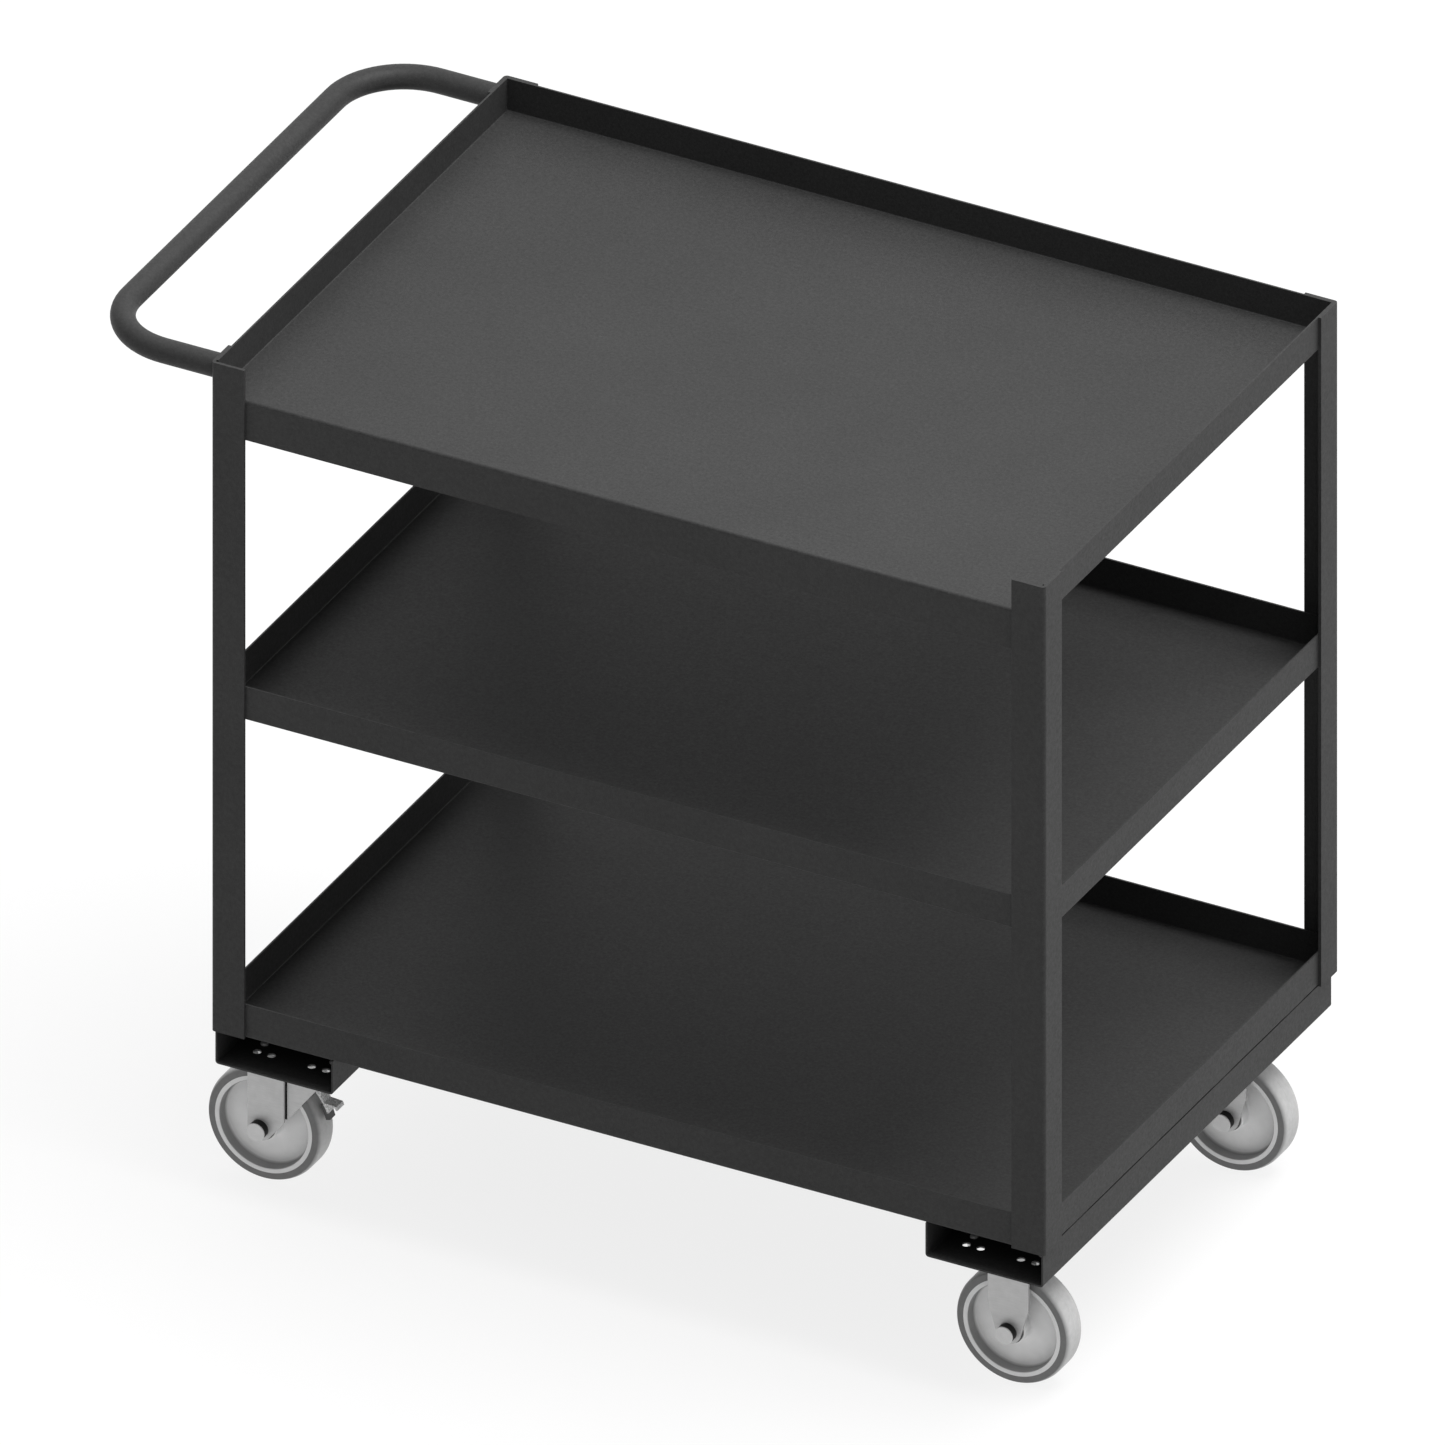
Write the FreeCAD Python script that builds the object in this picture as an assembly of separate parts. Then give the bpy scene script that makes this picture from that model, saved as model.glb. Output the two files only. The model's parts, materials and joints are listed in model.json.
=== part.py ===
"""Three-shelf welded steel utility cart with a tubular push handle.

Two braked swivel casters stand under the handle end (-X) and two rigid casters under the other end (+X).
Units are millimetres, +Z is up and the wheels stand on Z = 0. The origin is on the floor, at the centre
of the overall length and width. "Front" is -Y and "rear" is +Y; "left" is the handle end.
"""
import FreeCAD, Part
import math
import os

V = FreeCAD.Vector
X_AXIS = V(1, 0, 0)
Y_AXIS = V(0, 1, 0)
Z_AXIS = V(0, 0, 1)
INCH = 25.4
TINY = 1e-6

# Shelves: one folded steel sheet each
deck_length = 36.0 * INCH
deck_width = 24.0 * INCH
sheet = 1.9
lip_height = 1.5 * INCH
front_lip_drop = 1.75 * INCH
sheet_bend = 3.0
shelf_pitch = 14.25 * INCH

# Corner posts: steel angle wrapped round the shelf corners
post_length = 30.0 * INCH
post_leg = 36.5
post_wall = 3.2
post_bend = 4.2

# Caster channels: U sections, open upward, welded across the underside at each end
channel_width = 130.0
channel_depth = 1.5 * INCH
channel_length = 23.75 * INCH
channel_wall = 1.9
channel_bend = 3.4
channel_hole_radius = 4.25

# Push handle: bent tube
tube_radius = 12.7
tube_wall = 2.1
handle_drop = 14.5
handle_leg_y = 289.0
handle_reach = 137.5
handle_bend = 76.0

# Casters, seen along the axle from the mounting plane down
caster_height = 157.16
caster_x = 391.8
caster_inset = 73.8
wheel_radius = 62.5
wheel_half_width = 15.5
swivel_lead = 43.0
plate_half_x = 3.625 * INCH / 2
plate_half_y = 2.375 * INCH / 2
plate_thickness = 3.0
bolt_x = 1.5 * INCH
bolt_y = 0.875 * INCH
bolt_radius = 4.2
bolt_clearance = 0.1
bolt_head_across_flats = 12.7
bolt_head_height = 5.2
bolt_tip = 3.0
bolt_tip_dome = 2.2
hex_bevel = 0.5
plate_corner_radius = 6.0

# Wheel
tyre_inner_radius = 53.6
tread_shoulder_radius = 60.2
crown_half_width = 9.0
rim_inner_radius = 48.7
web_half_thickness = 3.5
web_fillet = 3.0
rim_edge_break = 0.8
hub_radius = 16.0
hub_half_width = 18.0
bush_radius = 11.0
bush_flange_radius = 14.5
bush_flange_end = 20.2

# Axle: spacer sleeve, through bolt, collar under the bolt head and a hex nut
sleeve_radius = 6.35
sleeve_bore = 4.8
running_clearance = 0.07
axle_radius = 4.75
collar_radius = 9.6
collar_length = 8.2
axle_head_radius = 9.8
axle_head_thickness = 1.1
axle_head_edge = 0.5
axle_end_chamfer = 0.8
nut_across_flats = 14.3
nut_height = 8.4
axle_tail = 3.0

# Fork sheets
fork_half_gap = 20.7
fork_wall = 2.8
fork_bend = 6.0
fork_toe_radius = 13.5
rigid_half_width = 22.4
rigid_taper_start = 91.7
least_inner_bend = 0.3

# Swivel fork: a proud strip over the axle and, past an open slit, a recessed gusset ahead of it
strip_front_x = -16.4
slit_width = 1.6
slit_top_drop = 8.0
joggle_depth = 4.2
gusset_top_x = 35.8
crown_drop = 10.0
crown_margin = 1.0
ball_drop = 6.5
race_outer_radius = 30.0
race_inner_radius = 18.0
ball_circle_radius = 24.0
ball_radius = 2.5
ball_count = 24
ball_groove_clearance = 0.1
race_gap = 0.6
kingpin_radius = 6.0
kingpin_clearance = 0.08
kingpin_flange_radius = 14.0
kingpin_flange_thickness = 3.0
kingpin_nub_radius = 8.0
kingpin_nub_height = 2.0
kingpin_nub_edge = 1.5
kingpin_float = 0.3

# Brake: a lever hinged in the gussets, with a pad outside the leading side of the tread
brake_pin_x = 12.0
brake_pin_z = 131.0
brake_pin_radius = 3.0
brake_pin_head_radius = 4.5
brake_pin_head = 1.2
brake_eye_radius = 6.0
brake_half_width = 7.0
brake_sheet = 2.0
pad_half_width = 5.5
pad_inner_radius = 66.2
pad_thickness = 4.8
pad_low_angle = 15.5
pad_high_angle = 30.0
shoe_low_angle = 22.0
lever_high_angle = 46.0
pedal_angle = 30.0
pedal_length = 13.0
pedal_fall = 1.0
pedal_lip = 3.6
pedal_bend = 2.6

# How far cutting shapes run past the faces they cut
overcut = 1.0

# Derived heights and the shift that centres the overall length on the origin
deck_underside = caster_height + channel_depth
post_top = deck_underside + post_length
top_floor = post_top - lip_height + sheet
half_length = deck_length / 2
half_width = deck_width / 2
post_face_x = half_length + post_wall
caster_front_y = -half_width + caster_inset
caster_rear_y = -half_width + channel_length - caster_inset
ball_plane = caster_height - ball_drop
crown_top = caster_height - crown_drop
crown_low = crown_top - fork_wall
fork_face = fork_half_gap + fork_wall
gusset_face = fork_face - joggle_depth
handle_tip = post_face_x + handle_reach + tube_radius
centre_shift = V((handle_tip - post_face_x) / 2, 0, 0)


# ---------------------------------------------------------------- shape helpers

def block(x0, x1, y0, y1, z0, z1):
    """Box between two corners."""
    return Part.makeBox(x1 - x0, y1 - y0, z1 - z0, V(x0, y0, z0))


def rod(radius, start, end):
    """Round bar from one point to another."""
    path = end - start
    return Part.makeCylinder(radius, path.Length, start, path)


def ring(outer, inner, start, end):
    """Round tube from one point to another."""
    path = end - start
    overlap = path * (overcut / path.Length)
    return rod(outer, start, end).cut(rod(inner, start - overlap, end + overlap))


def prism(points, path):
    """Closed polygon pushed along a vector."""
    return Part.Face(Part.makePolygon(points + [points[0]])).extrude(path)


def hexagon(across_flats, base, axis, height):
    """Hexagonal bar with lightly broken corners."""
    corner = across_flats / math.sqrt(3)
    flat = Part.makePolygon([V(corner * math.cos(k * math.pi / 3), corner * math.sin(k * math.pi / 3), 0)
                             for k in range(7)])
    bar = Part.Face(flat).extrude(V(0, 0, height))
    bar = bar.common(Part.makeCone(corner - hex_bevel + height, corner - hex_bevel, height))
    bar.Placement = FreeCAD.Placement(base, FreeCAD.Rotation(Z_AXIS, axis))
    return bar


def folded(corners, wall, bend, path):
    """Sheet folded along a flat run of corner points, then pushed along a vector.

    The corners lie on the outer skin. The sheet lies on the left of the run, seen against the path.
    """
    normal = V(path).normalize()
    inner = offset_run(corners, wall, normal)
    outline = corners + inner[::-1]
    solid = prism(outline, path)
    return round_folds(solid, corners[1:-1], bend, inner[1:-1], max(bend - wall, least_inner_bend), path)


def offset_run(points, distance, normal):
    """Open polyline moved sideways by a distance, with mitred corners."""
    sides = [normal.cross((b - a).normalize()) for a, b in zip(points, points[1:])]
    moved = [points[0] + sides[0] * distance]
    for point, before, after in zip(points[1:-1], sides, sides[1:]):
        mitre = (before + after) / (1 + before.dot(after))
        moved.append(point + mitre * distance)
    moved.append(points[-1] + sides[-1] * distance)
    return moved


def edges_through(solid, points, path):
    """Edges along the path direction that pass through one of the points."""
    direction = V(path).normalize()
    found = []
    for edge in solid.Edges:
        start, end = edge.Vertexes[0].Point, edge.Vertexes[-1].Point
        along = end - start
        if along.Length < TINY or abs(abs(along.normalize().dot(direction)) - 1) > TINY:
            continue
        for point in points:
            gap = point - start
            if (gap - direction * gap.dot(direction)).Length < 1e-4:
                found.append(edge)
                break
    return found


def round_folds(solid, outer_points, outer_radius, inner_points, inner_radius, path):
    """Outer and inner fold radii on the edges through the given points."""
    solid = solid.makeFillet(outer_radius, edges_through(solid, outer_points, path))
    return solid.makeFillet(inner_radius, edges_through(solid, inner_points, path))


def turned(profile):
    """Closed (radius, y) profile turned about the Y axis. A step may be an arc: (r, y, via_r, via_y)."""
    edges = []
    for here, there in zip(profile, profile[1:] + profile[:1]):
        start = V(here[0], here[1], 0)
        end = V(there[0], there[1], 0)
        if len(there) == 4:
            edges.append(Part.Arc(start, V(there[2], there[3], 0), end).toShape())
        else:
            edges.append(Part.makeLine(start, end))
    return Part.Face(Part.Wire(edges)).revolve(V(0, 0, 0), Y_AXIS, 360)


def mirrored(profile):
    """Profile from y = 0 outward, completed with its mirror image."""
    other = [(point[0], -point[1]) + ((point[2], -point[3]) if len(point) == 4 else ()) for point in profile]
    back = []
    for index in range(len(other) - 1, -1, -1):
        corner = other[index][:2]
        arc = other[index + 1][2:] if index + 1 < len(other) and len(other[index + 1]) == 4 else ()
        back.append(corner + arc)
    return profile + back


def edges_at_height(solid, height):
    """Edges whose centre lies at that height."""
    return [edge for edge in solid.Edges if abs(edge.CenterOfMass.z - height) < TINY]


def edges_at_depth(solid, depth):
    """Edges whose centre lies at that y."""
    return [edge for edge in solid.Edges if abs(edge.CenterOfMass.y - depth) < TINY]


def fused(shapes):
    """Union with the seams between flush faces removed."""
    solid = shapes[0].multiFuse(shapes[1:]) if len(shapes) > 1 else shapes[0]
    return solid.removeSplitter()


# ---------------------------------------------------------------- frame

def lipped_tray(z_under):
    """Shelf with all four lips folded up."""
    outer = block(-half_length, half_length, -half_width, half_width, z_under, z_under + lip_height)
    outer = outer.makeFillet(sheet_bend, edges_at_height(outer, z_under))
    floor = z_under + sheet
    room = block(-half_length + sheet, half_length - sheet, -half_width + sheet, half_width - sheet,
                 floor, z_under + 2 * lip_height)
    room = room.makeFillet(sheet_bend - sheet, edges_at_height(room, floor))
    return outer.cut(room)


def top_tray():
    """Shelf with the left, rear and right lips folded up and the front lip folded down."""
    tray = lipped_tray(post_top - lip_height)
    bend_start = -half_width + sheet_bend
    tray = tray.cut(block(-deck_length, deck_length, -deck_width, bend_start, 0, 2 * post_top))
    run = [V(-half_length, bend_start + sheet_bend, top_floor),
           V(-half_length, -half_width, top_floor),
           V(-half_length, -half_width, top_floor - front_lip_drop)]
    front = folded(run, sheet, sheet_bend, V(deck_length, 0, 0))
    return fused([tray, front])


def corner_post(side_x, side_y):
    """Angle post outside one corner of the shelves."""
    outer_x = side_x * post_face_x
    outer_y = side_y * (half_width + post_wall)
    run = [V(outer_x - side_x * post_leg, outer_y, deck_underside),
           V(outer_x, outer_y, deck_underside),
           V(outer_x, outer_y - side_y * post_leg, deck_underside)]
    if side_x * side_y > 0:
        run.reverse()
    return folded(run, post_wall, post_bend, V(0, 0, post_length))


def caster_channel(side_x):
    """U section under one end, with bolt holes for both plate orientations."""
    outer_x = side_x * half_length
    inner_x = side_x * (half_length - channel_width)
    low, high = sorted([outer_x, inner_x])
    run = [V(low, -half_width, deck_underside), V(low, -half_width, caster_height),
           V(high, -half_width, caster_height), V(high, -half_width, deck_underside)]
    channel = folded(run[::-1], channel_wall, channel_bend, V(0, channel_length, 0))
    offsets = [(bolt_x, bolt_x), (bolt_y, bolt_x), (bolt_x, bolt_y)]
    drills = []
    start = V(0, 0, caster_height - overcut)
    end = V(0, 0, caster_height + channel_wall + overcut)
    for centre_y in (caster_front_y, caster_rear_y):
        for offset_x, offset_y in offsets:
            for sign_x in (-1, 1):
                for sign_y in (-1, 1):
                    spot = V(side_x * caster_x + sign_x * offset_x, centre_y + sign_y * offset_y, 0)
                    drills.append(rod(channel_hole_radius, spot + start, spot + end))
    return channel.cut(drills)


def push_handle():
    """U-shaped tube between the outer faces of the two left posts."""
    z = post_top - handle_drop
    root_x = -post_face_x
    grip_x = root_x - handle_reach
    cut = handle_bend * (1 - math.sqrt(0.5))
    bend_x = grip_x + handle_bend
    bend_y = handle_leg_y - handle_bend
    points = [V(root_x, -handle_leg_y, z), V(bend_x, -handle_leg_y, z),
              V(grip_x + cut, -handle_leg_y + cut, z), V(grip_x, -bend_y, z),
              V(grip_x, bend_y, z), V(grip_x + cut, handle_leg_y - cut, z),
              V(bend_x, handle_leg_y, z), V(root_x, handle_leg_y, z)]
    path = Part.Wire([Part.makeLine(points[0], points[1]),
                      Part.Arc(points[1], points[2], points[3]).toShape(),
                      Part.makeLine(points[3], points[4]),
                      Part.Arc(points[4], points[5], points[6]).toShape(),
                      Part.makeLine(points[6], points[7])])
    skins = []
    for radius in (tube_radius, tube_radius - tube_wall):
        section = Part.Wire(Part.makeCircle(radius, points[0], X_AXIS))
        skins.append(path.makePipeShell([section], True, True))
    return skins[0].cut(skins[1])


# ---------------------------------------------------------------- wheels and axles
# Casters are modelled with the kingpin or plate centre on the Z axis and the axle along Y.

def tyre():
    """Tread ring, flat in the middle, with shoulders that curve down to the side faces."""
    drop = wheel_radius - tread_shoulder_radius
    run = wheel_half_width - crown_half_width
    curve = (drop * drop + run * run) / (2 * drop)
    half_turn = math.asin(run / curve) / 2
    middle_radius = wheel_radius - curve * (1 - math.cos(half_turn))
    middle_y = crown_half_width + curve * math.sin(half_turn)
    half = [(tyre_inner_radius, wheel_half_width),
            (tread_shoulder_radius, wheel_half_width),
            (wheel_radius, crown_half_width, middle_radius, middle_y)]
    return turned(mirrored(half))


def wheel_core():
    """Moulded wheel centre: rim, recessed web and hub."""
    sag = web_fillet * (1 - math.sqrt(0.5))
    fillet_end = web_half_thickness + web_fillet
    fillet_middle = web_half_thickness + sag
    half = [(bush_radius, hub_half_width),
            (hub_radius - rim_edge_break, hub_half_width),
            (hub_radius, hub_half_width - rim_edge_break),
            (hub_radius, fillet_end),
            (hub_radius + web_fillet, web_half_thickness, hub_radius + sag, fillet_middle),
            (rim_inner_radius - web_fillet, web_half_thickness),
            (rim_inner_radius, fillet_end, rim_inner_radius - sag, fillet_middle),
            (rim_inner_radius, wheel_half_width - rim_edge_break),
            (rim_inner_radius + rim_edge_break, wheel_half_width),
            (tyre_inner_radius, wheel_half_width)]
    return turned(mirrored(half))


def wheel_bushes():
    """Two flanged bushes pressed into the hub from both sides."""
    bore = sleeve_radius + running_clearance
    shapes = []
    for side in (-1, 1):
        inner = V(0, 0, 0)
        shoulder = V(0, side * hub_half_width, 0)
        end = V(0, side * bush_flange_end, 0)
        body = rod(bush_radius, inner, shoulder).fuse(rod(bush_flange_radius, shoulder, end))
        shapes.append(body.cut(rod(bore, inner, end + Y_AXIS * (side * overcut))).removeSplitter())
    return Part.makeCompound(shapes)


def axle_sleeve():
    """Spacer tube that the wheel turns on, clamped between the fork legs."""
    return ring(sleeve_radius, sleeve_bore, V(0, -fork_half_gap, 0), V(0, fork_half_gap, 0))


def axle_collar():
    """Plain collar between the fork leg and the bolt head."""
    return ring(collar_radius, sleeve_bore, V(0, -fork_face, 0), V(0, -fork_face - collar_length, 0))


def axle_bolt():
    """Through bolt with a flat round head on the front side."""
    head = fork_face + collar_length
    tail = fork_face + nut_height + axle_tail
    shank = rod(axle_radius, V(0, -head, 0), V(0, tail, 0))
    shank = shank.makeChamfer(axle_end_chamfer, edges_at_depth(shank, tail))
    cap = rod(axle_head_radius, V(0, -head, 0), V(0, -head - axle_head_thickness, 0))
    cap = cap.makeFillet(axle_head_edge, edges_at_depth(cap, -head - axle_head_thickness))
    return fused([shank, cap])


def axle_nut():
    """Hex nut on the rear end of the bolt."""
    face = V(0, fork_face, 0)
    nut = hexagon(nut_across_flats, face, Y_AXIS, nut_height)
    return nut.cut(rod(axle_radius, face - Y_AXIS * overcut, face + Y_AXIS * (nut_height + overcut)))


# ---------------------------------------------------------------- caster heads and forks

def bolt_spots():
    """Centres of the four plate bolts."""
    return [V(sx * bolt_x, sy * bolt_y, 0) for sx in (-1, 1) for sy in (-1, 1)]


def top_plate():
    """Flat mounting plate with four bolt holes."""
    low = caster_height - plate_thickness
    plate = block(-plate_half_x, plate_half_x, -plate_half_y, plate_half_y, low, caster_height)
    middle = low + plate_thickness / 2
    plate = plate.makeFillet(plate_corner_radius, edges_at_height(plate, middle))
    below = V(0, 0, low - overcut)
    above = V(0, 0, caster_height + overcut)
    return plate.cut([rod(bolt_radius + bolt_clearance, spot + below, spot + above) for spot in bolt_spots()])


def mount_bolts():
    """Four hex bolts, heads under the plate, with domed tips standing above the channel web."""
    head_top = caster_height - plate_thickness
    tip = caster_height + channel_wall + bolt_tip
    bolts = []
    for spot in bolt_spots():
        shank = rod(bolt_radius, spot + V(0, 0, head_top), spot + V(0, 0, tip))
        shank = shank.makeFillet(bolt_tip_dome, edges_at_height(shank, tip))
        head = hexagon(bolt_head_across_flats, spot + V(0, 0, head_top), -Z_AXIS, bolt_head_height)
        bolts.append(fused([shank, head]))
    return bolts


def ball_groove():
    """Ring-shaped track that clears the balls."""
    centre = V(0, 0, ball_plane)
    return Part.makeTorus(ball_circle_radius, ball_radius + ball_groove_clearance, centre, Z_AXIS)


def swivel_top_plate():
    """Mounting plate with the upper ball race under it."""
    race_top = caster_height - plate_thickness
    race = ring(race_outer_radius, race_inner_radius, V(0, 0, race_top), V(0, 0, ball_plane + race_gap / 2))
    plate = fused([top_plate(), race.cut(ball_groove())])
    return plate.cut(rod(kingpin_radius, V(0, 0, race_top - overcut), V(0, 0, caster_height + overcut)))


def swivel_balls():
    """One row of steel balls."""
    balls = []
    for index in range(ball_count):
        angle = 2 * math.pi * index / ball_count
        centre = V(ball_circle_radius * math.cos(angle), ball_circle_radius * math.sin(angle), ball_plane)
        balls.append(Part.makeSphere(ball_radius, centre))
    return Part.makeCompound(balls)


def kingpin():
    """Riveted pin that carries the fork under the plate."""
    flange_top = crown_low - kingpin_float
    flange_low = flange_top - kingpin_flange_thickness
    shaft = rod(kingpin_radius, V(0, 0, flange_low), V(0, 0, caster_height))
    flange = rod(kingpin_flange_radius, V(0, 0, flange_low), V(0, 0, flange_top))
    nub = rod(kingpin_nub_radius, V(0, 0, flange_low - kingpin_nub_height), V(0, 0, flange_low))
    nub_low = flange_low - kingpin_nub_height
    nub = nub.makeFillet(kingpin_nub_edge, edges_at_height(nub, nub_low))
    return fused([shaft, flange, nub])


def u_section(x0, x1, half_outside, z_top, z_low):
    """Sheet folded down on both sides, running along X."""
    run = [V(x0, -half_outside, z_low), V(x0, -half_outside, z_top),
           V(x0, half_outside, z_top), V(x0, half_outside, z_low)]
    return folded(run[::-1], fork_wall, fork_bend, V(x1 - x0, 0, 0))


def tangent_point(circle_x, from_x, from_z, side):
    """Where a line from a point touches the toe circle round the axle, on the +X or -X side."""
    dx = from_x - circle_x
    dz = from_z - wheel_radius
    reach = math.hypot(dx, dz)
    angle = math.atan2(dz, dx) - side * math.acos(fork_toe_radius / reach)
    touch = V(math.cos(angle), 0, math.sin(angle)) * fork_toe_radius
    return V(circle_x, 0, wheel_radius) + touch


def leg_outline(axle_x, left, right):
    """Side outline of a fork leg: two flanks down to a round toe under the axle.

    left and right are the flanks' (x, z) corners from the top down; the last one runs to the toe circle.
    """
    span = V(0, 4 * fork_half_gap, 0)
    shift = V(0, -2 * fork_half_gap, 0)
    left_touch = tangent_point(axle_x, left[-1][0], left[-1][1], -1)
    right_touch = tangent_point(axle_x, right[-1][0], right[-1][1], 1)
    toe = V(axle_x, 0, wheel_radius - fork_toe_radius)
    flanks = [V(x, 0, z) for x, z in left[::-1] + right]
    points = [left_touch] + flanks + [right_touch]
    edges = [Part.makeLine(a, b) for a, b in zip(points, points[1:])]
    edges.append(Part.Arc(right_touch, toe, left_touch).toShape())
    return Part.Face(Part.Wire(edges)).extrude(span).translated(shift)


def axle_hole(axle_x):
    """Cutter for the axle holes in both legs."""
    reach = V(0, 2 * fork_half_gap, 0)
    centre = V(axle_x, 0, wheel_radius)
    return rod(axle_radius + bolt_clearance, centre - reach, centre + reach)


def rigid_fork():
    """U bracket welded under the rigid plate."""
    top = caster_height - plate_thickness
    bracket = u_section(-rigid_half_width, rigid_half_width, fork_face, top, 0)
    flank = [(rigid_half_width, top + overcut), (rigid_half_width, rigid_taper_start)]
    outline = leg_outline(0, [(-x, z) for x, z in flank], flank)
    return bracket.common(outline).cut(axle_hole(0))


def swivel_fork():
    """Pressed fork: round crown with the lower ball race, two legs and their recessed gussets."""
    axle_x = -swivel_lead
    rear_x = axle_x - fork_toe_radius
    joggle_x = strip_front_x - fork_wall
    slit_end_x = strip_front_x + slit_width
    strip = u_section(rear_x, strip_front_x, fork_face, crown_top, 0)
    gusset = u_section(joggle_x, gusset_top_x, gusset_face, crown_top, 0)
    slit_top = crown_top - slit_top_drop
    gusset = gusset.cut(block(joggle_x - overcut, slit_end_x, -fork_face, fork_face, -overcut, slit_top))
    step = block(joggle_x, strip_front_x, -fork_face, fork_face, slit_top, crown_top)
    corners = [V(0, -fork_face, crown_top), V(0, fork_face, crown_top)]
    step = step.makeFillet(fork_bend, edges_through(step, corners, X_AXIS))
    inner = gusset_face - fork_wall
    step = step.cut(block(joggle_x - overcut, strip_front_x + overcut, -inner, inner, 0, crown_low))
    outline = leg_outline(axle_x, [(rear_x, crown_top + overcut), (rear_x, wheel_radius + overcut)],
                          [(gusset_top_x, crown_top + overcut), (gusset_top_x, crown_low)])
    legs = fused([strip, gusset, step]).common(outline)
    crown = rod(race_outer_radius + crown_margin, V(0, 0, crown_low), V(0, 0, crown_top))
    race = ring(race_outer_radius, race_inner_radius, V(0, 0, crown_top), V(0, 0, ball_plane - race_gap / 2))
    fork = fused([legs, crown, race]).cut(ball_groove())
    bore = rod(kingpin_radius + kingpin_clearance, V(0, 0, crown_low - overcut), V(0, 0, crown_top + overcut))
    pin_reach = V(0, fork_face, 0)
    pin_centre = V(brake_pin_x, 0, brake_pin_z)
    pin_hole = rod(brake_pin_radius + kingpin_clearance, pin_centre - pin_reach, pin_centre + pin_reach)
    return fork.cut([axle_hole(axle_x), bore, pin_hole])


# ---------------------------------------------------------------- brake

def tread_sector(inner, outer, low_angle, high_angle, half_width):
    """Curved plate outside the leading side of the tread, between two angles above the axle."""
    def at(radius, angle):
        turn = math.radians(angle)
        return V(-swivel_lead + radius * math.cos(turn), -half_width, wheel_radius + radius * math.sin(turn))
    middle = (low_angle + high_angle) / 2
    edges = [Part.Arc(at(inner, low_angle), at(inner, middle), at(inner, high_angle)).toShape(),
             Part.makeLine(at(inner, high_angle), at(outer, high_angle)),
             Part.Arc(at(outer, high_angle), at(outer, middle), at(outer, low_angle)).toShape(),
             Part.makeLine(at(outer, low_angle), at(inner, low_angle))]
    return Part.Face(Part.Wire(edges)).extrude(V(0, 2 * half_width, 0))


def brake_pad():
    """Friction pad on the inside of the lever."""
    return tread_sector(pad_inner_radius, pad_inner_radius + pad_thickness, pad_low_angle, pad_high_angle,
                        pad_half_width)


def brake_lever():
    """Folded lever: curved shoe, two cheeks up to the pin, and a pedal lip."""
    shoe_inner = pad_inner_radius + pad_thickness
    shoe_outer = shoe_inner + brake_sheet
    shoe = tread_sector(shoe_inner, shoe_outer, shoe_low_angle, lever_high_angle, brake_half_width)
    turn = math.radians(pedal_angle)
    root = V(-swivel_lead + shoe_inner * math.cos(turn), 0, wheel_radius + shoe_inner * math.sin(turn))
    tip_x = root.x + pedal_length
    run = [V(root.x, -brake_half_width, root.z), V(tip_x, -brake_half_width, root.z - pedal_fall),
           V(tip_x + pedal_fall, -brake_half_width, root.z - pedal_lip)]
    pedal = folded(run[::-1], brake_sheet, pedal_bend, V(0, 2 * brake_half_width, 0))
    pin = V(brake_pin_x, 0, brake_pin_z)
    cheeks = []
    upper = math.radians(lever_high_angle)
    middle = math.radians((lever_high_angle + pedal_angle) / 2)
    heel = V(-swivel_lead + shoe_inner * math.cos(middle), 0, wheel_radius + shoe_inner * math.sin(middle))
    neck = V(-swivel_lead + shoe_inner * math.cos(upper), 0, wheel_radius + shoe_inner * math.sin(upper))
    for side in (-1, 1):
        shift = V(0, side * brake_half_width, 0)
        thickness = V(0, -side * brake_sheet, 0)
        eye = rod(brake_eye_radius, pin + shift, pin + shift + thickness)
        outline = [neck, pin - X_AXIS * brake_eye_radius, pin + X_AXIS * brake_eye_radius,
                   heel + X_AXIS * brake_sheet, heel]
        web = prism([point + shift for point in outline], thickness)
        cheeks.extend([eye, web])
    lever = fused([shoe, pedal] + cheeks)
    reach = V(0, 2 * brake_half_width, 0)
    return lever.cut(rod(brake_pin_radius + kingpin_clearance, pin - reach, pin + reach))


def brake_pin():
    """Headed pin through the gussets and the lever."""
    centre = V(brake_pin_x, 0, brake_pin_z)
    pieces = [rod(brake_pin_radius, centre - Y_AXIS * gusset_face, centre + Y_AXIS * gusset_face)]
    for side in (-1, 1):
        start = centre + Y_AXIS * (side * gusset_face)
        pieces.append(rod(brake_pin_head_radius, start, start + Y_AXIS * (side * brake_pin_head)))
    return fused(pieces)


# ---------------------------------------------------------------- assembly

def save(node, shape, position=V(0, 0, 0)):
    """Write one sub-part, moved to its place in the cart."""
    placed = shape.translated(position + centre_shift)
    placed.exportStep("parts/%s.step" % node)


def save_frame():
    for name_x, side_x in (("left", -1), ("right", 1)):
        for name_y, side_y in (("front", -1), ("rear", 1)):
            save("corner_post_%s_%s" % (name_y, name_x), corner_post(side_x, side_y))
        save("caster_channel_" + name_x, caster_channel(side_x))
    save("top_shelf", top_tray())
    save("middle_shelf", lipped_tray(deck_underside + shelf_pitch))
    save("bottom_shelf", lipped_tray(deck_underside))
    save("push_handle", push_handle())


def save_wheel(place, axle):
    for node, shape in (("tyre", tyre()), ("wheel_core", wheel_core()), ("wheel_bushes", wheel_bushes()),
                        ("axle_sleeve", axle_sleeve()), ("axle_collar", axle_collar()),
                        ("axle_bolt", axle_bolt()), ("axle_nut", axle_nut())):
        save("%s_%s" % (node, place), shape, axle)


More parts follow.
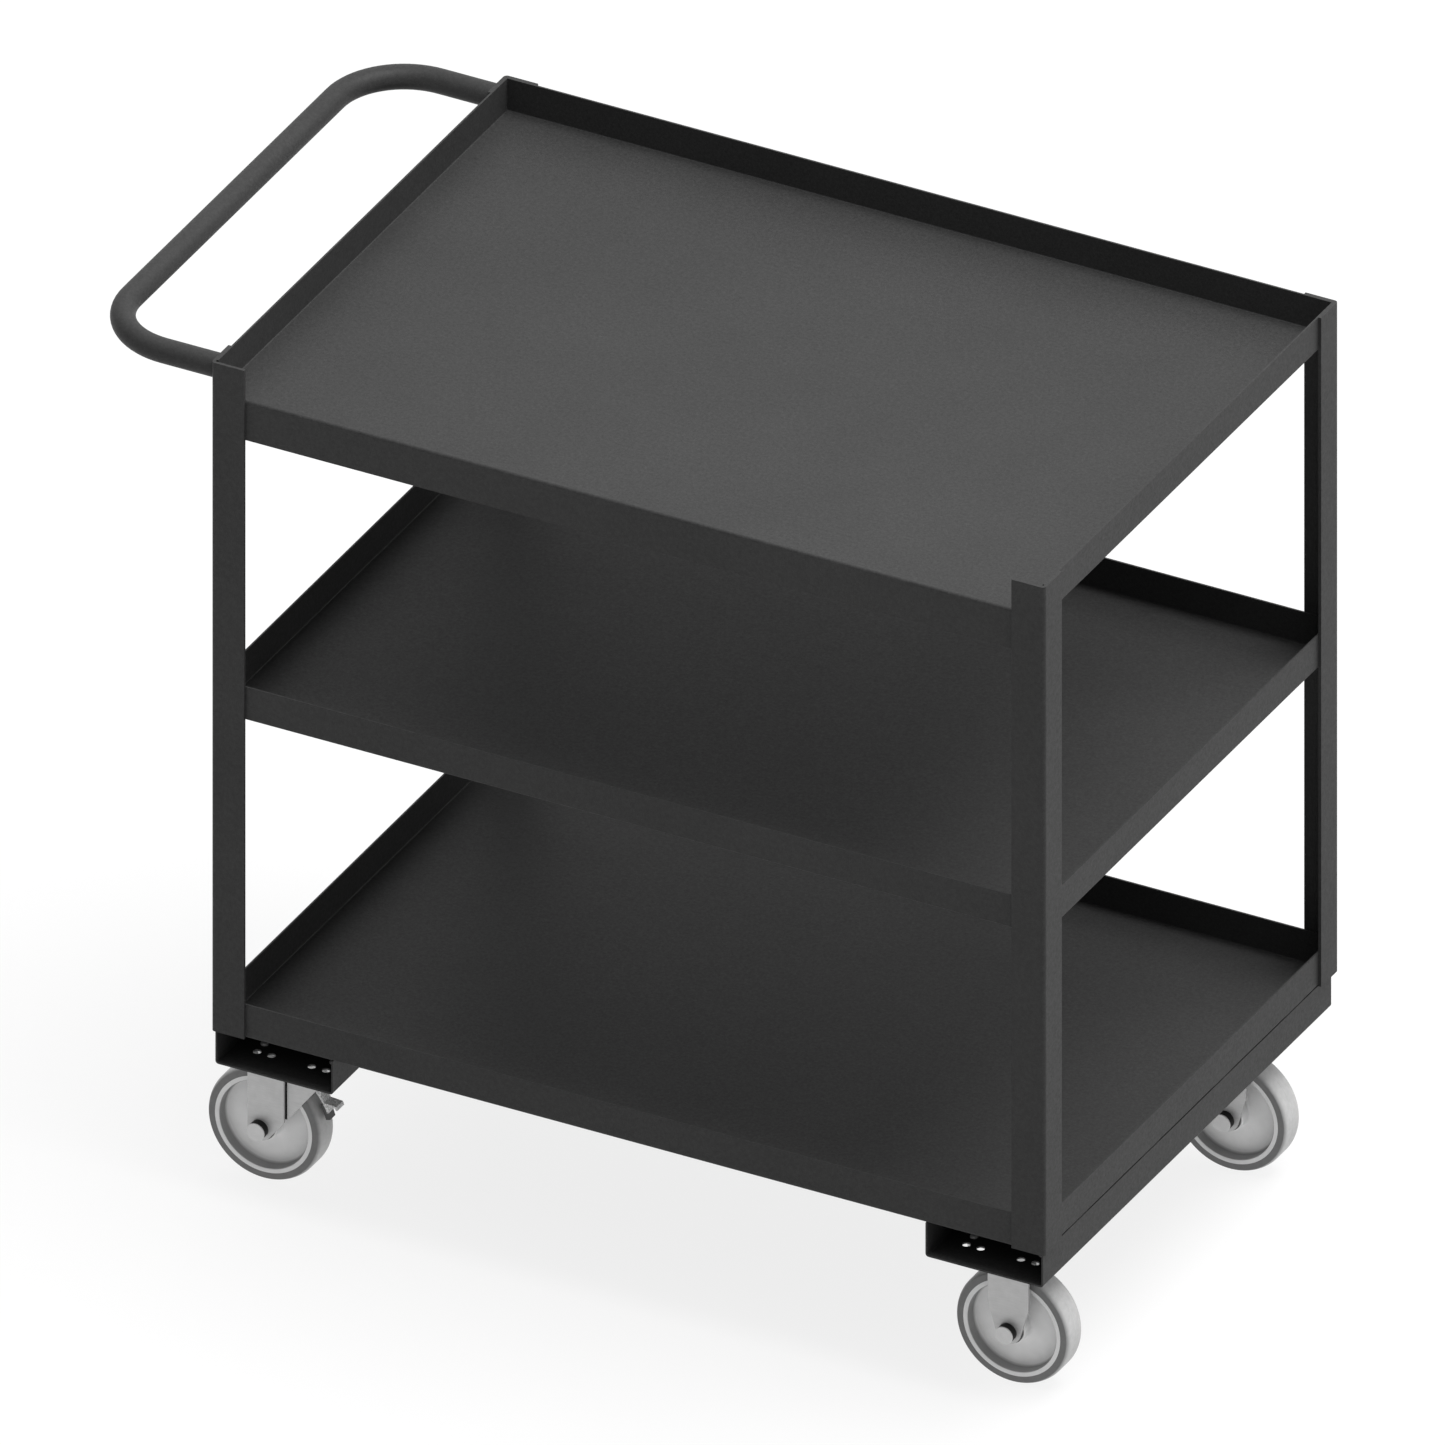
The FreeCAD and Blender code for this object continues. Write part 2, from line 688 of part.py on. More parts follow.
def save_casters():
    rigid = (("caster_plate", top_plate()), ("rigid_fork", rigid_fork()))
    swivel = (("caster_plate", swivel_top_plate()), ("swivel_balls", swivel_balls()), ("kingpin", kingpin()),
              ("swivel_fork", swivel_fork()), ("brake_lever", brake_lever()), ("brake_pad", brake_pad()),
              ("brake_pin", brake_pin()))
    bolts = []
    for name_x, side_x, pieces, lead in (("left", -1, swivel, swivel_lead), ("right", 1, rigid, 0)):
        for name_y, caster_y in (("front", caster_front_y), ("rear", caster_rear_y)):
            place = "%s_%s" % (name_y, name_x)
            head = V(side_x * caster_x, caster_y, 0)
            for node, shape in pieces:
                save("%s_%s" % (node, place), shape, head)
            save_wheel(place, head + V(-lead, 0, wheel_radius))
            bolts.extend(bolt.translated(head) for bolt in mount_bolts())
    save("caster_mount_bolts", Part.makeCompound(bolts))


os.makedirs("parts", exist_ok=True)
save_frame()
save_casters()
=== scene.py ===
"""Looks for the three-shelf steel utility cart.

Procedural finishes, small welded and turned details, and a plain studio with its camera.
"""

import json
import math

import bmesh
import bpy
from mathutils import Matrix, Vector


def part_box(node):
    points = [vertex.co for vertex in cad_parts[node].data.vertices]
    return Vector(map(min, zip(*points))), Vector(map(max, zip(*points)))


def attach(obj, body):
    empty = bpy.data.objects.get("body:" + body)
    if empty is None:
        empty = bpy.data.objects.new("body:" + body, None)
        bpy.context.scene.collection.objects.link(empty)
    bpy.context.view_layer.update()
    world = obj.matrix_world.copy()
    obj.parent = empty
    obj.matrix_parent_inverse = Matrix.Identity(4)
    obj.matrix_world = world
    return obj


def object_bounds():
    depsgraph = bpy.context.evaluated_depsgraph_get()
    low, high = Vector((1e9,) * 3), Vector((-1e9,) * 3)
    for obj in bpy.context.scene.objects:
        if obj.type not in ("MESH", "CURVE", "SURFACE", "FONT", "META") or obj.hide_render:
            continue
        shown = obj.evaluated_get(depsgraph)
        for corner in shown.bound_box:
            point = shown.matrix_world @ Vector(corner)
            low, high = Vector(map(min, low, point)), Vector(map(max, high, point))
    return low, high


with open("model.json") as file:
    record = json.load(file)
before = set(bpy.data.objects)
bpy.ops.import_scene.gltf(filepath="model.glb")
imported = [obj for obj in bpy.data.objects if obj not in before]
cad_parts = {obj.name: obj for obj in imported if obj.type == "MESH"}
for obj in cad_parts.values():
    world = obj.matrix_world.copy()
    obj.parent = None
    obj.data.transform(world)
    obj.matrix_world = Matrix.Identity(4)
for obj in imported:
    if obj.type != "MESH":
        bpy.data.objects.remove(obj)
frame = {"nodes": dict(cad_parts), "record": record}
CAD_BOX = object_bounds()
NODES = frame["nodes"]
MM = 0.001
X_AXIS = Vector((1, 0, 0))
Y_AXIS = Vector((0, 1, 0))
Z_AXIS = Vector((0, 0, 1))

SIDES = (("left", -1), ("right", 1))
ENDS = (("front", -1), ("rear", 1))
END_NAMES = ("front", "rear")
SWIVEL_PLACES = ("front_left", "rear_left")
PLACES = SWIVEL_PLACES + ("front_right", "rear_right")

# Nodes whose names start with these are folded or pressed sheet
SHEET_NODES = ("top_shelf", "middle_shelf", "bottom_shelf", "corner_post", "caster_channel", "caster_plate",
               "rigid_fork", "swivel_fork", "brake_lever")

# Camera: parallel view from above the front right corner, aimed in its own right and up directions
VIEW_AZIMUTH = math.radians(27.82)
VIEW_ELEVATION = math.radians(31.0)
VIEW_WIDTH = 1.4118
VIEW_DISTANCE = 6.0
AIM_RIGHT = -0.0511
AIM_UP = 0.4386

# Studio floor
FLOOR_HALF = 30.0
FLOOR_CELLS = 4
FLOOR_GREY = 0.14
FLOOR_GLOW = 0.82

# Surroundings: they brighten toward one side, between two values of the cosine to it
BRIGHT_SIDE = Vector((0.1, 0.6, 0.75))
WORLD_DIM = 0.18
WORLD_BRIGHT = 1.1
WORLD_FADE_START = -0.4
WORLD_FADE_END = 0.9

# Key light, seen from the middle of the cart
KEY_DIRECTION = Vector((0.44, 0.1, 1.3))
KEY_DISTANCE = 5.0
KEY_SIZE = 3.6
KEY_POWER = 330.0

# Noise stays mostly between these two values
NOISE_LOW = 0.3
NOISE_HIGH = 0.7

# Greys of the finishes, from black 0 to white 1
PAINT_DARK = 0.024
PAINT_LIGHT = 0.0355
PRESSING_GREY = 0.50
HARDWARE_GREY = 0.56
GALVANISED_DARK = 0.32
GALVANISED_LIGHT = 0.85
BALL_GREY = 0.75
BUSH_GREY = 0.06
COLLAR_GREY = 0.008
PAD_GREY = 0.08
CORE_GREY = 0.73
TYRE_SIDE_GREY = 0.14
TYRE_CROWN_PAINTED_LIGHT = 0.43

# How far a finish strays from its grey, as a share of it
PAINT_CLOUDS = 0.05
PAINT_MOTTLE = 0.14
ROLLED_CONTRAST = 0.04
PLATING_MOTTLE = 0.06
MOULDING_CONTRAST = 0.05
CORE_CONTRAST = 0.04
FLOOR_CONTRAST = 0.01

# Stretch of rolling lines along the X or the Y direction
ROLLED_ALONG_X = (12, 1, 1)
ROLLED_ALONG_Y = (1, 8, 1)

# Depths of the fine relief
ORANGE_PEEL = 0.05 * MM
PAINT_GRIT = 0.03 * MM
ROLLING_LINES = 0.012 * MM
PLATING_GRIT = 0.006 * MM
ZINC_CRUST = 0.12 * MM
CRUST_GRIT = 0.03 * MM
BUSH_GRAIN = 0.01 * MM
COLLAR_GRAIN = 0.012 * MM
PAD_GRAIN = 0.05 * MM
LATHE_RINGS = 0.004 * MM
CORE_GRAIN = 0.012 * MM
MOULD_LINE = 0.15 * MM
TREAD_GRAIN = 0.03 * MM

# Wheel centre, as radii from the axle: painted shade darkens it toward the corner of the rim wall, where
# the recess lies in shade, and the rim face comes back almost to the core's grey
CORE_RADIUS = 53.6 * MM
RIM_WALL_RADIUS = 48.7 * MM
PAINTED_SHADE_START = RIM_WALL_RADIUS - 2.8 * MM
PAINTED_SHADE_END = RIM_WALL_RADIUS - 0.4 * MM
PAINTED_RECESS_SHADE = 0.36
RIM_START = RIM_WALL_RADIUS + 0.1 * MM
RIM_END = RIM_WALL_RADIUS + 0.5 * MM
RIM_SHADE = 0.92
LATHE_PITCH = 0.6 * MM

# Tyre, as radii from the axle, over which its tread crown is painted paler as painted light, and its mould
# line as shares of the tyre's width from the middle
TYRE_RADIUS = 62.5 * MM
CROWN_START = TYRE_RADIUS - 2.6 * MM
CROWN_END = TYRE_RADIUS - 0.3 * MM
MOULD_LINE_TOP = 0.008
MOULD_LINE_FOOT = 0.018

# Sides of a round tube, and steps in a full turn about an axle
TUBE_SIDES = 10
TURN_STEPS = 48

# Weld beads: their ends shrink to a share of the radius, and where two sheets meet, their middles lie
# another share of it in from the outer face
BEAD_RADIUS = 1.9 * MM
ROOT_BEAD_RADIUS = 1.3 * MM
BEAD_PITCH = 2.4 * MM
BEAD_RIPPLE = 0.12
BEAD_STEP = BEAD_PITCH / 4
BEAD_LEAST_STEPS = 6
BEAD_END_SIZE = 0.15
BEAD_SINK = 1 / 3
STITCH_LENGTH = 40.0 * MM
STITCH_COUNT = 4

# Channel wall and axle as in the CAD parts, and the thread on the axle's tail
CHANNEL_WALL = 1.9 * MM
AXLE_RADIUS = 4.75 * MM
THREAD_PITCH = 1.25 * MM
THREAD_HEIGHT = 0.3 * MM

# Lock ring let into each axle nut: its share of the nut's radius, then its section on the nut's face
LOCK_RING_SHARE = 0.82
LOCK_RING_ROOT = 1.0 * MM
LOCK_RING_HEIGHT = 1.3 * MM
LOCK_RING_CHAMFER = 0.4 * MM
LOCK_RING_ROUND = 0.8 * MM
LOCK_RING_SHOULDER = 0.25 * MM

# Dark strips of painted shade in the slits of the swivel forks, measured from the fork's corners and the
# legs' outer faces
SLIT_SHADE_START = 37.4 * MM
SLIT_SHADE_END = 41.5 * MM
SLIT_SHADE_FOOT = 28.4 * MM
SLIT_SHADE_HEAD = 11.4 * MM
SLIT_SHADE_DEPTH = 5.0 * MM
SLIT_SHADE_THICKNESS = 1.2 * MM
SLIT_SHADE_CHAMFER_WIDTH = 0.25 * MM
SLIT_SHADE_CHAMFER_DEPTH = 0.3 * MM

# Grip ribs, on a line that falls toward the tip of the brake pedal
RIB_COUNT = 4
RIB_PITCH = 2.6 * MM
RIB_RADIUS = 0.45 * MM
RIB_MARGIN = 1.5 * MM
RIB_LINE_LENGTH = 14.0 * MM
RIB_LINE_FALL = 1.0 * MM

# Rounding of cut sheet edges
EDGE_BREAK = 0.45 * MM
EDGE_SEGMENTS = 2
EDGE_ANGLE = math.radians(50)


# ---------------------------------------------------------------- materials

class Finish:
    """A Principled material whose colour, roughness and bump come from procedural nodes."""

    def __init__(self, name, metallic=0.0, **constants):
        self.material = bpy.data.materials.new(name)
        self.material.use_nodes = True
        self.tree = self.material.node_tree
        self.shader = self.tree.nodes["Principled BSDF"]
        self.shader.inputs["Metallic"].default_value = metallic
        for socket, value in constants.items():
            self.shader.inputs[socket.replace("_", " ")].default_value = value
        self.place = self.add("ShaderNodeTexCoord").outputs["Object"]

    def add(self, kind, **inputs):
        """New node, with its inputs set by name or linked where the value is an output socket."""
        node = self.tree.nodes.new(kind)
        for name, value in inputs.items():
            socket = node.inputs[name.replace("_", " ")]
            if isinstance(value, bpy.types.NodeSocket):
                self.tree.links.new(value, socket)
            else:
                socket.default_value = value
        return node

    def operate(self, kind, operation, first, second=None):
        """Math or vector math node on one output socket and, at need, a second socket or fixed value."""
        node = self.tree.nodes.new(kind)
        node.operation = operation
        self.tree.links.new(first, node.inputs[0])
        if isinstance(second, bpy.types.NodeSocket):
            self.tree.links.new(second, node.inputs[1])
        elif second is not None:
            node.inputs[1].default_value = second
        return node

    def noise(self, size, detail=2.0, stretch=(1, 1, 1)):
        """Cloudy pattern with features of that size in metres, stretched along the axes."""
        scale = tuple(1.0 / (size * factor) for factor in stretch)
        place = self.add("ShaderNodeMapping", Vector=self.place, Scale=scale).outputs["Vector"]
        return self.add("ShaderNodeTexNoise", Vector=place, Scale=1.0, Detail=detail).outputs["Fac"]

    def spread(self, pattern, low, high, start=NOISE_LOW, end=NOISE_HIGH):
        """Pattern remapped so that start to end runs from low to high."""
        node = self.add("ShaderNodeMapRange", Value=pattern,
                        From_Min=start, From_Max=end, To_Min=low, To_Max=high)
        return node.outputs["Result"]

    def around(self, pattern, middle, share):
        """Pattern remapped to a middle value, give or take a share of it."""
        return self.spread(pattern, low=middle * (1 - share), high=middle * (1 + share))

    def calculate(self, operation, first, second=None):
        """Result of a math node on one or two numbers."""
        return self.operate("ShaderNodeMath", operation, first, second).outputs["Value"]

    def times(self, first, second):
        return self.calculate("MULTIPLY", first, second)

    def from_middle(self, size):
        """Place measured from the middle of the piece's box, which has that size in metres."""
        place = self.add("ShaderNodeTexCoord").outputs["Generated"]
        centred = self.operate("ShaderNodeVectorMath", "SUBTRACT", place, (0.5, 0.5, 0.5))
        scaled = self.operate("ShaderNodeVectorMath", "MULTIPLY", centred.outputs["Vector"], size)
        return scaled.outputs["Vector"]

    def length(self, vector):
        """Length of a vector."""
        return self.operate("ShaderNodeVectorMath", "LENGTH", vector).outputs["Value"]

    def grey(self, value):
        """Base colour from one brightness pattern."""
        node = self.add("ShaderNodeCombineColor", Red=value, Green=value, Blue=value)
        self.tree.links.new(node.outputs["Color"], self.shader.inputs["Base Color"])

    def roughness(self, pattern, low, high):
        """Roughness that follows a pattern from low to high."""
        self.tree.links.new(self.spread(pattern, low, high), self.shader.inputs["Roughness"])

    def bump(self, *layers):
        """Height patterns, each with its depth in metres, stacked into one bump."""
        normal = None
        for pattern, depth in layers:
            inputs = {"Height": pattern, "Distance": depth, "Strength": 1.0}
            if normal is not None:
                inputs["Normal"] = normal
            normal = self.add("ShaderNodeBump", **inputs).outputs["Normal"]
        self.tree.links.new(normal, self.shader.inputs["Normal"])


def powder_coat():
    """Fine-textured dark grey powder coat."""
    finish = Finish("powder_coat", Specular_IOR_Level=0.15)
    clouds = finish.around(finish.noise(size=120 * MM, detail=3.0), middle=1.0, share=PAINT_CLOUDS)
    mottle = finish.around(finish.noise(size=3.6 * MM, detail=3.0), middle=1.0, share=PAINT_MOTTLE)
    grain = finish.spread(finish.noise(size=1.1 * MM), low=PAINT_DARK, high=PAINT_LIGHT)
    finish.grey(finish.times(finish.times(clouds, mottle), grain))
    finish.roughness(finish.noise(size=3.0 * MM), low=0.46, high=0.58)
    peel = finish.noise(size=2.6 * MM)
    grit = finish.noise(size=0.7 * MM)
    finish.bump((peel, ORANGE_PEEL), (grit, PAINT_GRIT))
    return finish.material


def zinc(name, brightness, metallic, rolled, smooth, dull):
    """Zinc-plated steel with faint rolling lines along the sheet and a mottled sheen."""
    finish = Finish(name, metallic=metallic)
    lines = finish.noise(size=1.0 * MM, stretch=rolled)
    mottle = finish.noise(size=9.0 * MM, detail=4.0)
    sheen = finish.around(mottle, middle=1.0, share=PLATING_MOTTLE)
    grain = finish.around(lines, middle=brightness, share=ROLLED_CONTRAST)
    finish.grey(finish.times(sheen, grain))
    finish.roughness(mottle, low=smooth, high=dull)
    finish.bump((lines, ROLLING_LINES), (finish.noise(size=0.5 * MM), PLATING_GRIT))
    return finish.material


def galvanised():
    """Hot-dipped steel with a bright, coarse, speckled crust."""
    finish = Finish("galvanised", metallic=0.1)
    crust = finish.noise(size=1.3 * MM, detail=4.0)
    speckle = finish.spread(crust, low=GALVANISED_DARK, high=GALVANISED_LIGHT, start=0.35, end=0.65)
    patches = finish.spread(finish.noise(size=6.0 * MM), low=0.88, high=1.1)
    finish.grey(finish.times(speckle, patches))
    finish.roughness(finish.noise(size=2.0 * MM), low=0.42, high=0.62)
    finish.bump((crust, ZINC_CRUST), (finish.noise(size=0.4 * MM), CRUST_GRIT))
    return finish.material


def moulded(name, brightness, smooth, dull, grain, **constants):
    """Moulded plastic or elastomer with a fine matt grain of some depth."""
    finish = Finish(name, **constants)
    flow = finish.around(finish.noise(size=14.0 * MM, detail=3.0), middle=1.0, share=MOULDING_CONTRAST)
    speck = finish.around(finish.noise(size=0.8 * MM), middle=brightness, share=MOULDING_CONTRAST)
    finish.grey(finish.times(flow, speck))
    finish.roughness(finish.noise(size=2.0 * MM), low=smooth, high=dull)
    finish.bump((finish.noise(size=0.6 * MM), grain))
    return finish.material


def wheel_centre():
    """Moulded wheel centre, with a band of painted shade darkening the corner of the rim wall."""
    finish = Finish("wheel_core")
    radius = finish.length(finish.from_middle((2 * CORE_RADIUS, 0, 2 * CORE_RADIUS)))
    # painted shade: the web darkens toward the rim wall, where the recess lies in shade
    web_painted_shade = finish.spread(radius, low=1.0, high=PAINTED_RECESS_SHADE, start=PAINTED_SHADE_START, end=PAINTED_SHADE_END)
    rim = finish.spread(radius, low=0.0, high=RIM_SHADE, start=RIM_START, end=RIM_END)
    flow = finish.around(finish.noise(size=14.0 * MM, detail=3.0), middle=CORE_GREY, share=CORE_CONTRAST)
    finish.grey(finish.times(finish.calculate("MAXIMUM", web_painted_shade, rim), flow))
    finish.roughness(finish.noise(size=2.0 * MM), low=0.38, high=0.48)
    rings = finish.calculate("PINGPONG", radius, LATHE_PITCH)
    lathe = finish.spread(rings, low=0.0, high=1.0, start=0.0, end=LATHE_PITCH)
    finish.bump((lathe, LATHE_RINGS), (finish.noise(size=0.6 * MM), CORE_GRAIN))
    return finish.material


def tread_rubber():
    """Grey elastomer tyre with darker side faces, a tread crown painted paler as painted light, a faint
    random scuff tone and a fine mould line.
    """
    finish = Finish("tread")
    place = finish.from_middle((2 * TYRE_RADIUS, 1.0, 2 * TYRE_RADIUS))
    parts = finish.add("ShaderNodeSeparateXYZ", Vector=place)
    flat = finish.add("ShaderNodeCombineXYZ", X=parts.outputs["X"], Z=parts.outputs["Z"])
    radius = finish.length(flat.outputs["Vector"])
    # painted light: the crown is coloured paler than the side faces, standing in for the light the tread
    # catches
    face = finish.spread(radius, low=TYRE_SIDE_GREY, high=TYRE_CROWN_PAINTED_LIGHT,
                         start=CROWN_START, end=CROWN_END)
    scuff = finish.spread(finish.noise(size=5.0 * MM, detail=4.0), low=0.93, high=1.06)
    finish.grey(finish.times(face, scuff))
    finish.roughness(finish.noise(size=2.0 * MM), low=0.5, high=0.62)
    across = finish.calculate("ABSOLUTE", parts.outputs["Y"])
    line = finish.spread(across, low=1.0, high=0.0, start=MOULD_LINE_TOP, end=MOULD_LINE_FOOT)
    finish.bump((line, MOULD_LINE), (finish.noise(size=0.6 * MM), TREAD_GRAIN))
    return finish.material


def ball_steel():
    """Ground ball steel."""
    finish = Finish("ball_steel", metallic=1.0)
    finish.grey(finish.spread(finish.noise(size=1.5 * MM), low=BALL_GREY * 0.97, high=BALL_GREY))
    finish.roughness(finish.noise(size=0.8 * MM), low=0.12, high=0.2)
    return finish.material


def floor_finish():
    """Pale matt studio floor with a soft glow."""
    finish = Finish("studio_floor", Specular_IOR_Level=0.1, Emission_Strength=FLOOR_GLOW,
                    Emission_Color=(1, 1, 1, 1))
    finish.grey(finish.around(finish.noise(size=1.5), middle=FLOOR_GREY, share=FLOOR_CONTRAST))
    finish.roughness(finish.noise(size=0.4), low=0.85, high=0.95)
    return finish.material


FINISHES = {
    "frame_paint": powder_coat(),
    "zinc_pressing": zinc("zinc_pressing", brightness=PRESSING_GREY, metallic=0.4,
                          rolled=ROLLED_ALONG_X, smooth=0.40, dull=0.52),
    "zinc_hardware": zinc("zinc_hardware", brightness=HARDWARE_GREY, metallic=0.3,
                          rolled=ROLLED_ALONG_Y, smooth=0.35, dull=0.47),
    "brake_steel": galvanised(),
    "ball_steel": ball_steel(),
    "tread": tread_rubber(),
    "wheel_core": wheel_centre(),
    "bush": moulded("bush", brightness=BUSH_GREY, smooth=0.35, dull=0.45, grain=BUSH_GRAIN),
    "black_collar": moulded("black_collar", brightness=COLLAR_GREY, smooth=0.45, dull=0.55,
                            grain=COLLAR_GRAIN, Specular_IOR_Level=0.25),
    "brake_pad": moulded("brake_pad", brightness=PAD_GREY, smooth=0.65, dull=0.75, grain=PAD_GRAIN),
}


def paint(piece, slot):
    """Give a piece the finish of one material slot of the record."""
    piece.data.materials.clear()
    piece.data.materials.append(FINISHES[slot])


def paint_cad_nodes():
    """Give every CAD node the finish that the record names."""
    for part in frame["record"]["subparts"]:
        paint(NODES[part["node"]], part["material_slot"])


# ---------------------------------------------------------------- mesh helpers

def piece_from(name, mesh_data, body, slot, smooth=True):
    """Finish a bmesh into a named piece that rides on a body."""
    bmesh.ops.recalc_face_normals(mesh_data, faces=mesh_data.faces)
    mesh = bpy.data.meshes.new(name)
    mesh_data.to_mesh(mesh)
    mesh_data.free()
    for face in mesh.polygons:
        face.use_smooth = smooth
    piece = bpy.data.objects.new(name, mesh)
    bpy.context.scene.collection.objects.link(piece)
    paint(piece, slot)
    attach(piece, body)


def add_rings(mesh_data, rings, closed):
    """Skin a run of equal rings of points; an open run gets a flat cap at each end."""
    loops = [[mesh_data.verts.new(point) for point in ring] for ring in rings]
    count = len(loops[0])
    pairs = list(zip(loops, loops[1:]))
    if closed:
        pairs.append((loops[-1], loops[0]))
    for near, far in pairs:
        for index in range(count):
            following = (index + 1) % count
            mesh_data.faces.new((near[index], near[following], far[following], far[index]))
    if not closed:
        mesh_data.faces.new(loops[0])
        mesh_data.faces.new(loops[-1][::-1])


def around_axle(angle):
    """Direction at an angle round the Y axis."""
    return X_AXIS * math.cos(angle) + Z_AXIS * math.sin(angle)


def add_tube(mesh_data, points, sizes, closed=False):
    """Round tube along a run of close points, with its own radius at each point."""
    rings = []
    for index, point in enumerate(points):
        before = points[index - 1] if index or closed else point
        after = points[(index + 1) % len(points)] if closed or index + 1 < len(points) else point
        along = (after - before).normalized()
        side = along.orthogonal().normalized()
        up = along.cross(side)
        ring = []
        for step in range(TUBE_SIDES):
            angle = 2 * math.pi * step / TUBE_SIDES
            ring.append(point + (side * math.cos(angle) + up * math.sin(angle)) * sizes[index])
        rings.append(ring)
    add_rings(mesh_data, rings, closed)


def add_bead(mesh_data, points, radius, closed=False):
    """Weld bead: a rippled tube, tapered at its ends unless it closes on itself."""
    step = (points[1] - points[0]).length
    total = step * (len(points) - 1)
    sizes = []
    for index in range(len(points)):
        travelled = step * index
        size = radius * (1 + BEAD_RIPPLE * math.cos(2 * math.pi * travelled / BEAD_PITCH))
        if not closed:
            margin = min(travelled, total - travelled)
            size *= math.sqrt(min(1.0, margin / radius + BEAD_END_SIZE))
        sizes.append(size)
    add_tube(mesh_data, points, sizes, closed)


def straight(start, end):
    """Points from start to end, about a bead step apart."""
    count = max(BEAD_LEAST_STEPS, round((end - start).length / BEAD_STEP))
    return [start.lerp(end, index / count) for index in range(count + 1)]


def circle(centre, radius, first, second):
    """Points about a bead step apart, round a circle in the plane of two directions."""
    count = round(2 * math.pi * radius / BEAD_STEP)
    angles = [2 * math.pi * index / count for index in range(count)]
    return [centre + (first * math.cos(angle) + second * math.sin(angle)) * radius for angle in angles]


def add_stitches(mesh_data, start, end):
    """Short beads spread evenly from start to end."""
    half = (end - start).normalized() * (STITCH_LENGTH / 2)
    for index in range(STITCH_COUNT):
        middle = start.lerp(end, (index + 0.5) / STITCH_COUNT)
        add_bead(mesh_data, straight(middle - half, middle + half), BEAD_RADIUS)


def add_turned(mesh_data, centre, profile):
    """Closed (radius, y) profile turned about the Y direction through a centre."""
    rings = []
    for step in range(TURN_STEPS):
        outward = around_axle(2 * math.pi * step / TURN_STEPS)
        rings.append([centre + outward * radius + Y_AXIS * depth for radius, depth in profile])
    add_rings(mesh_data, rings, closed=True)


# ---------------------------------------------------------------- welded, threaded and pressed details

def weld_posts():
    """Beads in the folds under the top and middle shelves, along both legs of each post."""
    middle_low, middle_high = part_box("middle_shelf")
    tray_depth = middle_high.z - middle_low.z
    for shelf in ("middle_shelf", "top_shelf"):
        shelf_low, shelf_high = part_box(shelf)
        fold_z = shelf_high.z - tray_depth
        for end, end_sign in ENDS:
            for side, side_sign in SIDES:
                post_low, post_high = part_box("corner_post_%s_%s" % (end, side))
                corner_x = shelf_low.x if side_sign < 0 else shelf_high.x
                corner_y = shelf_low.y if end_sign < 0 else shelf_high.y
                leg_x = post_high.x if side_sign < 0 else post_low.x
                leg_y = post_high.y if end_sign < 0 else post_low.y
                lip_z = shelf_low.z if end_sign < 0 else fold_z
                inset_x = -side_sign * BEAD_RADIUS
                inset_y = -end_sign * BEAD_RADIUS
                along_x_y = corner_y + inset_y * BEAD_SINK
                along_y_x = corner_x + inset_x * BEAD_SINK
                beads = bmesh.new()
                add_bead(beads, straight(Vector((corner_x + 2 * inset_x, along_x_y, lip_z)),
                                         Vector((leg_x - inset_x, along_x_y, lip_z))), BEAD_RADIUS)
                add_bead(beads, straight(Vector((along_y_x, corner_y + 2 * inset_y, fold_z)),
                                         Vector((along_y_x, leg_y - inset_y, fold_z))), BEAD_RADIUS)
                piece_from("weld_%s_%s_%s" % (shelf, end, side), beads, "root", "frame_paint")


def weld_channels():
    """Stitches between the bottom shelf and both walls of each caster channel."""
    sink = BEAD_RADIUS * BEAD_SINK
    for side, side_sign in SIDES:
        low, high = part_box("caster_channel_" + side)
        inner_x = high.x if side_sign < 0 else low.x
        outer_x = low.x if side_sign < 0 else high.x
        inset = -side_sign * (CHANNEL_WALL + sink)
        beads = bmesh.new()
        for x in (outer_x + inset, inner_x - inset, inner_x - side_sign * sink):
            add_stitches(beads, Vector((x, low.y, high.z)), Vector((x, high.y, high.z)))
        piece_from("weld_channel_" + side, beads, "root", "frame_paint")


def weld_handle():
    """Ring bead where each end of the handle tube meets its post."""
    low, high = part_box("push_handle")
    radius = (high.z - low.z) / 2
    for end, end_sign in ENDS:
        centre = Vector((high.x, end_sign * (high.y - radius), (low.z + high.z) / 2))
        bead = bmesh.new()
        add_bead(bead, circle(centre, radius, Y_AXIS, Z_AXIS), ROOT_BEAD_RADIUS, closed=True)
        piece_from("weld_handle_" + end, bead, "root", "frame_paint")


def weld_rigid_forks():
    """Beads along the folds where each rigid fork meets its plate."""
    for end in END_NAMES:
        low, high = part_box("rigid_fork_%s_right" % end)
        z = high.z - BEAD_RADIUS / 2
        beads = bmesh.new()
        for y in (low.y + BEAD_RADIUS, high.y - BEAD_RADIUS):
            add_bead(beads, straight(Vector((low.x, y, z)), Vector((high.x, y, z))), BEAD_RADIUS)
        piece_from("weld_rigid_fork_" + end, beads, "root", "zinc_pressing")


